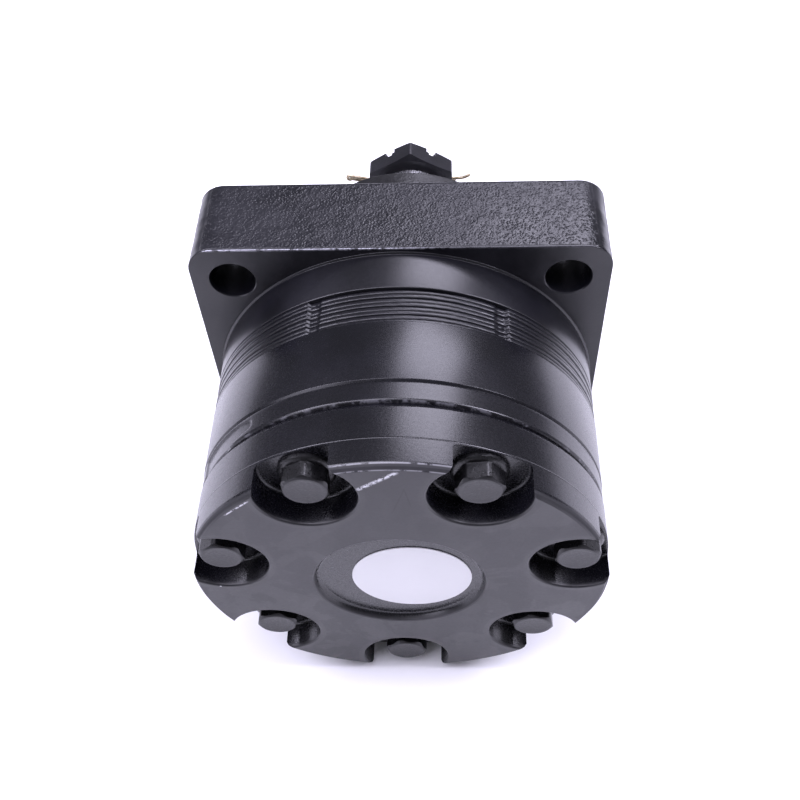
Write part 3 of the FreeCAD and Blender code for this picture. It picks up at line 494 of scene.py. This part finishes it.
def wear_shift(angle, r, y):
    """A shallow flat-bottomed recess on the left, with a round upper end."""
    degrees = math.degrees(angle)
    if r < 62.0 or not 129.0 < degrees < 160.0:
        return 0.0
    high = STATOR_REAR - 1.5 + 0.7 * smooth((degrees - 131.0) / 7.0)
    past = max(0.0, degrees - 131.0)
    low = STATOR_REAR - 4.8 - 0.14 * past - 0.008 * past * past
    middle, half = (high + low) / 2, (high - low) / 2
    start = max(0.0, 132.0 - degrees) * 1.1
    inside = half - math.hypot(start, y - middle)
    return -0.55 * smooth(inside / 0.3) * smooth((158.0 - degrees) / 1.5)


def make_wear():
    rows = [(20.0, WEAR_REAR + 0.02), (62.6, WEAR_REAR + 0.02), (63.15, WEAR_REAR + 0.5), (63.25, WEAR_REAR + 0.8)]
    steps = 24
    for index in range(1, steps):
        rows.append((63.25, WEAR_REAR + 0.8 + (STATOR_REAR - WEAR_REAR - 1.6) * index / steps))
    rows += [(63.25, STATOR_REAR - 0.8), (63.2, STATOR_REAR - 0.3), (62.95, STATOR_REAR - 0.02),
             (20.0, STATOR_REAR - 0.02)]
    return lathed("wear_plate_rim", rows, 720, wear_shift, angle=50)


def make_cover():
    outline = rounded([
        (0, COVER_REAR + 2.2), (25.2, COVER_REAR + 2.2, 1.4), (26.2, COVER_REAR + 0.2, 0.2),
        (26.7, COVER_REAR, 0.35), (62.0, COVER_REAR, 0.22), (62.9, COVER_REAR + 0.9, 0.25),
        (63.45, COVER_REAR + 2.1, 0.8), (63.45, WEAR_REAR - 2.0, 0.35), (62.2, WEAR_REAR - 0.02, 0.1),
        (0, WEAR_REAR - 0.02),
    ], 5)
    cover = lathed("end_cover_casting", outline, 720, closed=False)
    pocket = rounded([
        (0, POCKET_FLOOR), (POCKET_R, POCKET_FLOOR, 1.1), (POCKET_R, COVER_REAR + 0.7, 0.0),
        (POCKET_R + 0.1, COVER_REAR + 0.35), (POCKET_R + 0.4, COVER_REAR + 0.08),
        (POCKET_R + 0.9, COVER_REAR - 0.08), (POCKET_R + 1.25, COVER_REAR - 1.0), (0, COVER_REAR - 1.0),
    ], 5)
    hole = [(0, POCKET_FLOOR + 3), (4.35, POCKET_FLOOR + 3), (4.35, POCKET_FLOOR - 1), (0, POCKET_FLOOR - 1)]
    cutters = []
    for x, z in bolt_places():
        builder = bmesh.new()
        lathe(builder, pocket, 144, closed=False, centre=(x, z))
        cutters.append(finish_mesh(builder, "pocket_cutter"))
        builder = bmesh.new()
        lathe(builder, hole, 48, closed=False, centre=(x, z))
        cutters.append(finish_mesh(builder, "bolt_hole_cutter"))
    carve(cover, cutters)
    return cover


# ------------------------------------------------------------------ bolts, nut, cotter pin, label
HEAD_TURNS = (12.0, 41.0, 20.0, 30.0, 52.0, 38.0, 20.0)


def hex_radius(angle, flats, soften=0.35):
    """Distance from the axis to a hexagon's side at this angle, its corners slightly rounded."""
    step = math.pi / 3
    local = (angle + step / 2) % step - step / 2
    plain = flats / 2 / math.cos(local)
    corner = flats / math.sqrt(3)
    return min(plain, corner - soften)


def make_bolt(number, x, z, turn):
    """Hexagon flange bolt: washer skirt, chamfered head, shallow round dish on top, plain shank."""
    builder = bmesh.new()
    flats = 12.7
    floor = POCKET_FLOOR
    top = floor - 7.1
    skirt = floor - 1.7
    segments = 144
    rows = [
        (0.0, top + 0.16, 0), (4.4, top + 0.16, 0), (5.0, top + 0.05, 0), (5.5, top, 0), (5.95, top + 0.03, 0),
        (6.2, top + 0.2, 0), (7.4, top + 0.9, 1), (7.5, top + 2.2, 1), (7.5, skirt - 0.5, 1), (7.6, skirt - 0.08, 1),
        (7.3, skirt + 0.08, 0), (7.9, skirt + 0.38, 0), (8.18, skirt + 0.72, 0), (8.18, floor - 0.03, 0),
        (3.93, floor - 0.03, 0), (3.93, floor + 8.0, 0), (0.0, floor + 8.0, 0),
    ]
    loops = []
    offset = math.radians(turn + 30)
    for r, y, hexed in rows:
        if r == 0.0:
            loops.append([builder.verts.new((x, y, z))])
            continue
        loop = []
        for index in range(segments):
            angle = TAU * index / segments
            limit = hex_radius(angle + offset, flats)
            here = min(r, limit) if hexed else r
            drop = 0.0
            if hexed and y < top + 1.0:
                drop = (limit - flats / 2) * 0.55 - 0.45
            loop.append(builder.verts.new((x + here * math.cos(angle), y + drop, z + here * math.sin(angle))))
        loops.append(loop)
    join_loops(builder, loops)
    return finish_mesh(builder, f"cover_bolt_{number}", 28)


def make_nut():
    builder = bmesh.new()
    near, far = 69.42, 77.98
    flats = 33.3
    bore = 11.12
    segments = 240
    rows = [(bore, near, 0), (flats / 2 - 0.4, near, 0), (30, near + 0.15, 2), (30, near + 1.6, 1), (30, far - 1.6, 1),
            (30, far - 0.15, 2), (flats / 2 - 0.4, far, 0), (bore + 0.7, far, 0), (bore, far - 0.7, 0)]
    loops = []
    for r, y, hexed in rows:
        loop = []
        for index in range(segments):
            angle = TAU * index / segments
            limit = hex_radius(angle, flats, 0.2)
            here = min(r, limit) if hexed else r
            slide = 0.0
            if hexed == 2:
                slide = (limit - flats / 2) * 0.28 * (1 if y < 72 else -1)
            loop.append(builder.verts.new((here * math.cos(angle), y + slide, here * math.sin(angle))))
        loops.append(loop)
    join_loops(builder, loops, closed=True)
    nut = finish_mesh(builder, "castle_nut", 28)
    slot_wide, slot_long, slot_deep = 4.15, 6.1, 3.2
    cutters = []
    for index in range(3):
        builder = bmesh.new()
        bmesh.ops.create_cube(builder, size=1.0)
        bmesh.ops.scale(builder, vec=(50, slot_long, slot_wide), verts=builder.verts)
        edges = [e for e in builder.edges if abs((e.verts[0].co - e.verts[1].co).x) > 1]
        bmesh.ops.bevel(builder, geom=edges, offset=1.1, segments=5, affect="EDGES")
        bmesh.ops.translate(builder, vec=(0, far - slot_deep + slot_long / 2, 0), verts=builder.verts)
        turn = Matrix.Rotation(index * math.pi / 3, 3, "Y")
        bmesh.ops.rotate(builder, cent=(0, 0, 0), matrix=turn, verts=builder.verts)
        cutters.append(finish_mesh(builder, "slot_cutter"))
    carve(nut, cutters, angle=28)
    return nut


def tube(name, points, radius, segments):
    """A round wire along a smooth run of points, in millimetres, with closed ends a little thinner."""
    builder = bmesh.new()
    loops = []
    total = len(points)
    for index, point in enumerate(points):
        before = points[max(0, index - 1)]
        after = points[min(total - 1, index + 1)]
        along = (after - before).normalized()
        side = Vector((0, 1, 0))
        up = along.cross(side).normalized()
        shrink = 0.55 if index in (0, total - 1) else 1.0
        loop = []
        for step in range(segments):
            angle = TAU * step / segments
            outward = side * math.cos(angle) + up * math.sin(angle)
            loop.append(builder.verts.new(point + outward * radius * shrink))
        loops.append(loop)
    join_loops(builder, loops)
    builder.faces.new(loops[0])
    builder.faces.new(loops[-1])
    return finish_mesh(builder, name, 50)


def make_cotter():
    """One folded wire: long leg turned up at the right, rising eye at the left, short leg back."""
    station, leg, lift = 76.3, 0.66, 0.55
    right, knee, left, rise, bend_r = 19.0, -16.6, -24.6, 1.75, 7.4
    points = []
    for step in range(9):
        bend = math.radians(43 * (1 - step / 8))
        points.append(Vector((right + bend_r * math.sin(bend), station, lift + leg + bend_r * (1 - math.cos(bend)))))
    for step in range(1, 30):
        points.append(Vector((right + (knee - right) * step / 30, station, lift + leg)))
    for step in range(10):
        points.append(Vector((knee + (left - knee) * step / 10, station, lift + leg + rise * step / 10)))
    for step in range(19):
        bend = math.radians(50 + 260 * step / 18)
        points.append(Vector((left - 0.9 + 0.95 * math.cos(bend), station, lift + rise + 0.95 * math.sin(bend))))
    for step in range(1, 10):
        points.append(Vector((left + (knee - left) * step / 10, station, lift - leg + rise * (1 - step / 10))))
    for step in range(30):
        points.append(Vector((knee + (right - 0.8 - knee) * step / 29, station, lift - leg)))
    return tube("cotter_wire", points, leg, 16)


def make_label():
    outline = rounded([(0, -105.87), (18.3, -105.87, 0.12), (18.3, -105.6), (0, -105.6)], 3)
    builder = bmesh.new()
    lathe(builder, outline, 192, closed=False, centre=(3.7, 0.2))
    return finish_mesh(builder, "round_label")


# ------------------------------------------------------------------ materials
def cast_paint():
    """Glossy black over as-cast iron on the sides, smoother and duller on the machined faces."""
    s = Shader("cast_black")
    cloud = s.noise(26, 4, 0.6)
    reach = s.either(s.math("ABSOLUTE", s.x), s.math("ABSOLUTE", s.z))
    side = s.both(s.band(s.y, COLLAR_FRONT + 0.8, -0.8, 0.4), s.fade(reach, FLANGE_HALF - 1.35, FLANGE_HALF - 0.75))
    nose = s.fade(s.y, 7.2, 8.4)
    cast = s.either(side, s.both(nose, 0.40))
    grain = s.remap(s.voronoi(0.85), 0.0, 0.6, 1.0, 0.0)
    lumps = s.noise(2.2, 4, 0.58)
    skin = s.add(s.both(grain, 0.19), s.both(lumps, 0.50))
    flat = s.noise(1.1, 2, 0.5)
    height = s.add(s.both(skin, s.both(cast, 0.9)), s.both(flat, 0.03))
    normal = s.bump(height, 0.80, 0.70)
    colour = s.mix(s.remap(cloud, 0.3, 0.72), (0.0026, 0.0026, 0.0044), (0.0056, 0.0055, 0.0085))
    colour = s.mix(nose, colour, (0.0016, 0.0016, 0.0024))
    edge = s.both(s.band(s.y, COLLAR_FRONT - 0.04, COLLAR_FRONT + 0.26, 0.10),
                  s.fade(s.z, FLANGE_HALF - 0.85, FLANGE_HALF - 0.35))
    left = s.fade(s.x, -10.0, 20.0, 1.0, 0.10)
    wear = s.both(s.both(edge, left), s.remap(s.noise(2.2, 5, 0.75), 0.38, 0.55))
    colour = s.mix(wear, colour, (0.36, 0.36, 0.40))
    rough = s.remap(s.add(cloud, s.both(lumps, 0.3)), 0.45, 0.85, 0.27, 0.42)
    rear_face = s.fade(s.y, COLLAR_FRONT - 0.2, COLLAR_FRONT + 0.2, 1.0, 0.0)
    rough = s.add(rough, s.both(rear_face, 0.06))
    rough = s.add(rough, s.both(nose, 0.10))
    s.set(Base_Color=colour, Roughness=rough, Normal=normal, Metallic=s.both(wear, 0.8))
    return s.material


def collar_paint():
    s = satin_paint("collar_black", (0.30, 0.34))
    ridge = s.band(s.axis_radius(), 64.0, 65.2, 0.2)
    edge = s.both(ridge, s.remap(s.noise(5, 4, 0.7), 0.34, 0.5, 0.25, 1.0))
    s.set(Base_Color=s.mix(edge, s.colour, (0.16, 0.16, 0.165)))
    return s.material


def manifold_paint():
    s = satin_paint("manifold_black", (0.30, 0.34))
    streaks = s.noise(2.0, 4, 0.6, s.stretch((0.35, 2.6, 0.35)))
    s.set(Normal=s.bump(streaks, 0.32, 0.3, s.normal))
    return s.material


def stator_paint():
    s = satin_paint("stator_black", (0.255, 0.285))
    nib = s.remap(s.voronoi(9.0), 0.03, 0.045, 1.0, 0.0)
    spare = s.both(nib, s.remap(s.noise(14, 1, 0.5), 0.56, 0.6))
    s.set(Base_Color=s.mix(spare, s.colour, (0.5, 0.5, 0.52)))
    return s.material


def wear_paint():
    s = satin_paint("wear_plate_black", (0.265, 0.295))
    edge = s.both(s.band(s.y, WEAR_REAR + 0.02, WEAR_REAR + 0.52, 0.1), s.remap(s.noise(4, 4, 0.7), 0.5, 0.6))
    s.set(Base_Color=s.mix(s.both(edge, 0.35), s.colour, (0.2, 0.2, 0.22)))
    return s.material


def cover_paint():
    """The cover: satin on its rim, duller and greyer on its face, with rubbed and scratched places, a painted
    highlight along the top of its rim edges and painted shade at the recess.
    """
    s = satin_paint("cover_black", (0.255, 0.285))
    radius = s.axis_radius()
    face = s.fade(s.y, COVER_REAR + 0.32, COVER_REAR + 1.52, 1.0, 0.0)
    cloud = s.noise(17, 5, 0.62, distort=0.6)
    patch = s.remap(s.noise(21, 5, 0.6, distort=0.8), 0.53, 0.56)
    smear = s.remap(s.noise(7, 4, 0.65, s.stretch((1.0, 1.0, 0.45))), 0.50, 0.58)
    ragged = s.both(s.noise(3.0, 3, 0.6), 1.6 * MM)
    halo = 0.0
    for x, z in bolt_places():
        away = s.add(s.math("POWER", s.math("SUBTRACT", s.x, x * MM), 2.0),
                     s.math("POWER", s.math("SUBTRACT", s.z, z * MM), 2.0))
        reach = s.add(s.math("SQRT", away), ragged)
        halo = s.either(halo, s.fade(reach, POCKET_R + 2.85, POCKET_R + 3.25, 1.0, 0.0))
    dull_face_and_recess_shade = s.mix(s.remap(cloud, 0.3, 0.7), (0.0105, 0.0102, 0.0122), (0.0170, 0.0165, 0.0195))
    dull_face_and_recess_shade = s.mix(s.both(patch, 0.38), dull_face_and_recess_shade, (0.0050, 0.0050, 0.0056))
    dull_face_and_recess_shade = s.mix(s.both(smear, 0.30), dull_face_and_recess_shade, (0.0050, 0.0050, 0.0056))
    dull_face_and_recess_shade = s.mix(s.both(halo, 0.45), dull_face_and_recess_shade, (0.0045, 0.0045, 0.0052))
    # painted shade: darkens the face where it turns down into the recess, inside RECESS_R
    dull_face_and_recess_shade = s.mix(s.fade(radius, RECESS_R, RECESS_R + 0.7, 0.90, 0.0), dull_face_and_recess_shade, (0.0035, 0.0035, 0.0042))
    colour = s.mix(face, s.colour, dull_face_and_recess_shade)
    shine = s.add(s.both(s.either(patch, halo), 0.07), s.both(smear, 0.04))
    shine = s.add(shine, s.fade(radius, RECESS_R, RECESS_R + 0.7, 0.12, 0.0))
    dry = s.both(s.band(s.y, COVER_REAR + 0.42, COVER_REAR + 1.52, 0.2), s.fade(radius, 61.9, 62.2, 0.0, 0.32))
    rough = s.add(s.rough, s.both(face, s.math("SUBTRACT", 0.22, shine)))
    rough = s.add(rough, dry)
    long_scratch = s.both(s.segment((-9.1, 52.9), (1.7, 61.1), 1.0), s.remap(s.noise(1.3, 5, 0.8), 0.44, 0.50))
    short_scratch = s.both(s.segment((-46.7, 40.0), (-39.4, 46.9), 0.45), s.remap(s.noise(1.4, 5, 0.7), 0.45, 0.53))
    scratch = s.both(s.either(long_scratch, short_scratch), face)
    bent_scuff = s.either(s.segment((-0.2, 41.5), (3.4, 53.1), 0.35), s.segment((3.4, 53.1), (4.8, 44.9), 0.3))
    scuff = s.both(s.either(bent_scuff, s.segment((32.0, 35.2), (38.2, 41.6), 0.5)), face)
    colour = s.mix(s.both(scuff, 0.75), colour, (0.0020, 0.0020, 0.0024))
    # painted highlight: lighter, noise-broken lines on the face's two rim edges, only across the top between the upper
    # pockets
    lips = s.either(s.band(s.y, COVER_REAR + 0.04, COVER_REAR + 0.27, 0.08),
                    s.band(s.y, COVER_REAR + 1.57, COVER_REAR + 1.92, 0.12))
    edge = s.both(lips, s.fade(radius, 61.8, 62.0))
    painted_rim_highlight = s.both(s.both(edge, s.band(s.x, -19.0, 21.0, 3.0)),
                  s.both(s.fade(s.z, 40.0, 50.0), s.remap(s.noise(3.0, 4, 0.7), 0.38, 0.52)))
    nib = s.both(s.remap(s.voronoi(11.0), 0.028, 0.040, 1.0, 0.0), s.remap(s.noise(20, 1, 0.5), 0.54, 0.58))
    # real scratches and dust nibs, together with the painted rim highlight
    scratch_nib_and_highlight = s.either(s.either(scratch, s.both(painted_rim_highlight, 0.24)), s.both(nib, 0.6))
    colour = s.mix(scratch_nib_and_highlight, colour, (0.66, 0.66, 0.70))
    parting = s.band(s.y, COVER_REAR + 9.52, COVER_REAR + 9.82, 0.12)
    normal = s.bump(s.both(parting, s.fade(radius, 63.0, 63.3)), 0.6, 0.12, s.normal)
    normal = s.bump(s.noise(1.0, 3, 0.6), 0.13, 0.14, normal)
    s.set(Base_Color=colour, Roughness=rough, Normal=normal)
    return s.material


def bolt_paint():
    s = Shader("bolt_black")
    cloud = s.noise(5, 4, 0.6)
    fine = s.noise(0.8, 3, 0.6)
    colour = s.mix(s.remap(cloud, 0.3, 0.7), (0.0050, 0.0050, 0.0056), (0.0105, 0.0105, 0.0115))
    rub = s.remap(s.noise(2.0, 5, 0.75), 0.60, 0.68)
    colour = s.mix(s.both(rub, 0.30), colour, (0.08, 0.08, 0.085))
    dents = s.noise(1.6, 4, 0.7, distort=1.2)
    crown = s.fade(s.y, POCKET_FLOOR - 6.75, POCKET_FLOOR - 6.6, 1.0, 0.0)
    colour = s.mix(crown, s.mix(0.65, colour, (0.0015, 0.0015, 0.0018)), colour)
    rough = s.add(s.remap(fine, 0.3, 0.7, 0.26, 0.36), s.both(crown, 0.14))
    s.set(Base_Color=colour, Roughness=rough, Normal=s.bump(dents, 0.30, 0.30, s.bump(fine, 0.12, 0.1)))
    return s.material


def bare_steel(name, colour=(0.55, 0.55, 0.57), rough=(0.18, 0.32), grain=(4.0, 0.25, 4.0)):
    """Ground steel with turning marks and a little colour variation."""
    s = Shader(name)
    marks = s.noise(1.4, 4, 0.6, s.stretch(grain))
    tone = s.mix(s.remap(s.noise(9, 3), 0.3, 0.7), tuple(v * 0.82 for v in colour), colour)
    s.set(Base_Color=tone, Metallic=1.0, Roughness=s.remap(marks, 0.3, 0.7, rough[0], rough[1]),
          Normal=s.bump(marks, 0.10, 0.08))
    return s.material


def rubber(name):
    s = Shader(name)
    fine = s.noise(0.7, 3, 0.6)
    s.set(Base_Color=s.mix(s.noise(6, 3), (0.010, 0.010, 0.011), (0.024, 0.024, 0.025)),
          Roughness=s.remap(fine, 0.3, 0.7, 0.55, 0.75), Normal=s.bump(fine, 0.15, 0.1))
    return s.material


def label_paper():
    s = Shader("label_white")
    fine = s.noise(0.5, 3, 0.6)
    s.set(Base_Color=s.mix(s.noise(12, 3), (0.68, 0.68, 0.69), (0.72, 0.72, 0.73)),
          Roughness=s.remap(fine, 0.3, 0.7, 0.52, 0.64), Normal=s.bump(fine, 0.05, 0.05))
    return s.material


def plated_wire():
    s = Shader("plated_wire")
    tone = s.mix(s.remap(s.noise(2.2, 4, 0.7), 0.42, 0.6), (0.50, 0.43, 0.31), (0.24, 0.19, 0.115))
    s.set(Base_Color=tone, Metallic=0.9, Roughness=s.remap(s.noise(0.8, 3), 0.3, 0.7, 0.28, 0.48),
          Normal=s.bump(s.noise(0.9, 3), 0.2, 0.1))
    return s.material


def dress(piece, material, body="casing", nodes=()):
    piece.data.materials.clear()
    piece.data.materials.append(material)
    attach(piece, body)
    if nodes:
        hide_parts(*nodes)


cast = cast_paint()
dress(make_flange(), cast, nodes=["wheel_mount_housing"])
dress(make_nose(), cast, nodes=["wheel_mount_housing"])
dress(make_collar(), collar_paint(), nodes=["wheel_mount_housing"])
dress(make_manifold(), manifold_paint(), nodes=[f"manifold_plate_{n}" for n in range(1, 9)])
dress(make_stator(), stator_paint(), nodes=["stator_ring"])
dress(make_wear(), wear_paint(), nodes=["wear_plate"])
dress(make_cover(), cover_paint(), nodes=["end_cover"])
black_bolt = bolt_paint()
for number, (x, z) in enumerate(bolt_places(), start=1):
    dress(make_bolt(number, x, z, HEAD_TURNS[number - 1]), black_bolt, nodes=["cover_bolts"])
dress(make_label(), label_paper(), nodes=["blank_label"])
dress(make_nut(), satin_paint("nut_black", (0.34, 0.5), 1.3).material, "shaft", ["slotted_nut"])
dress(make_cotter(), plated_wire(), "shaft", ["cotter_pin"])

steel = bare_steel("ground_steel")
polished = bare_steel("bearing_steel", (0.66, 0.66, 0.68), (0.12, 0.22))
black_rubber = rubber("seal_rubber")
for name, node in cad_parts.items():
    if name.startswith("seal_") or name.endswith("_seal"):
        chosen = black_rubber
    elif "bearing" in name or name == "drive_spacer":
        chosen = polished
    else:
        chosen = steel
    for index in range(len(node.data.materials)):
        node.data.materials[index] = chosen


# ------------------------------------------------------------------ floor, lights and camera
def make_floor():
    builder = bmesh.new()
    bmesh.ops.create_grid(builder, x_segments=8, y_segments=8, size=4.0)
    bmesh.ops.translate(builder, vec=(0, 0, FLOOR_Z * MM), verts=builder.verts)
    mesh = bpy.data.meshes.new("floor")
    builder.to_mesh(mesh)
    builder.free()
    floor = bpy.data.objects.new("floor", mesh)
    bpy.context.scene.collection.objects.link(floor)
    s = Shader("floor_white")
    s.set(Base_Color=s.mix(s.noise(60, 3), (0.86, 0.86, 0.87), (0.90, 0.90, 0.91)), Roughness=0.85,
          Normal=s.bump(s.noise(1.2, 3), 0.05, 0.1))
    mesh.materials.append(s.material)


make_floor()

world = bpy.data.worlds.new("studio")
bpy.context.scene.world = world
world.use_nodes = True
background = world.node_tree.nodes["Background"]
background.inputs["Color"].default_value = (0.91, 0.90, 1.0, 1.0)
background.inputs["Strength"].default_value = 0.20


LAVENDER = (0.97, 0.94, 1.15)


def soft_light(name, place, aim, size, power):
    """A square lamp; place, aim and size are metres, power is watts."""
    light = bpy.data.lights.new(name, "AREA")
    light.shape = "RECTANGLE"
    light.size = size
    light.size_y = size
    light.energy = power
    light.color = LAVENDER
    holder = bpy.data.objects.new(name, light)
    holder.location = place
    holder.rotation_euler = (Vector(aim) - Vector(place)).to_track_quat("-Z", "Y").to_euler()
    bpy.context.scene.collection.objects.link(holder)


soft_light("key_soft", (0.245, 0.62, 0.81), (0, -0.05, 0), 0.47, 5.9)
soft_light("top_soft", (-0.25, -0.18, 1.35), (0, -0.05, 0), 0.9, 14.5)
soft_light("left_floor", (-1.0, 0.05, 1.05), (-0.55, 0.10, -0.065), 0.6, 15.0)
soft_light("right_floor", (1.0, 0.05, 1.05), (0.55, 0.10, -0.065), 0.6, 22.0)
soft_light("front_soft", (-0.75, -0.62, 0.60), (-0.10, -0.20, -0.065), 0.5, 2.6)

camera_data = bpy.data.cameras.new("photo_camera")
camera_data.sensor_width = 36.0
camera_data.lens = 46.266
camera_data.clip_start = 0.01
camera = bpy.data.objects.new("photo_camera", camera_data)
camera.location = (0.016113, -0.253228, 0.282988)
camera.rotation_euler = Euler((math.radians(37.3457), math.radians(2.4591), math.radians(1.5314)), "XYZ")
bpy.context.scene.collection.objects.link(camera)
bpy.context.scene.camera = camera
bpy.context.scene.view_settings.view_transform = "Standard"
